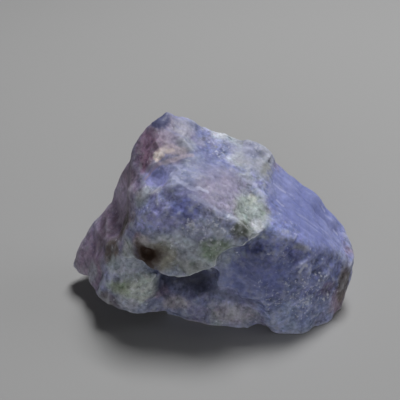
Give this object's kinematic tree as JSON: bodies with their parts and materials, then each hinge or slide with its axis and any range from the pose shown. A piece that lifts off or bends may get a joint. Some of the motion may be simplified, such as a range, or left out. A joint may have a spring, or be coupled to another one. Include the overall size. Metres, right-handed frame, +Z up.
{
  "type": "rough hackmanite stone",
  "caption": "Rough, unpolished lump of violet-blue hackmanite with broken faces, an overhanging front and a sloping side; rests on its own flat spot.",
  "frame": {"origin": "on the surface that the stone rests on, under the middle of its bounding box", "axes": "+X to the right of the show side and along the longest extent, +Y to its back, +Z up"},
  "size_m": [0.0634, 0.036, 0.042],
  "materials": {
    "stone": "rough, granular, dull to slightly greasy"
  },
  "bodies": {
    "root": {"hackmanite": "stone"}
  },
  "joints": []
}
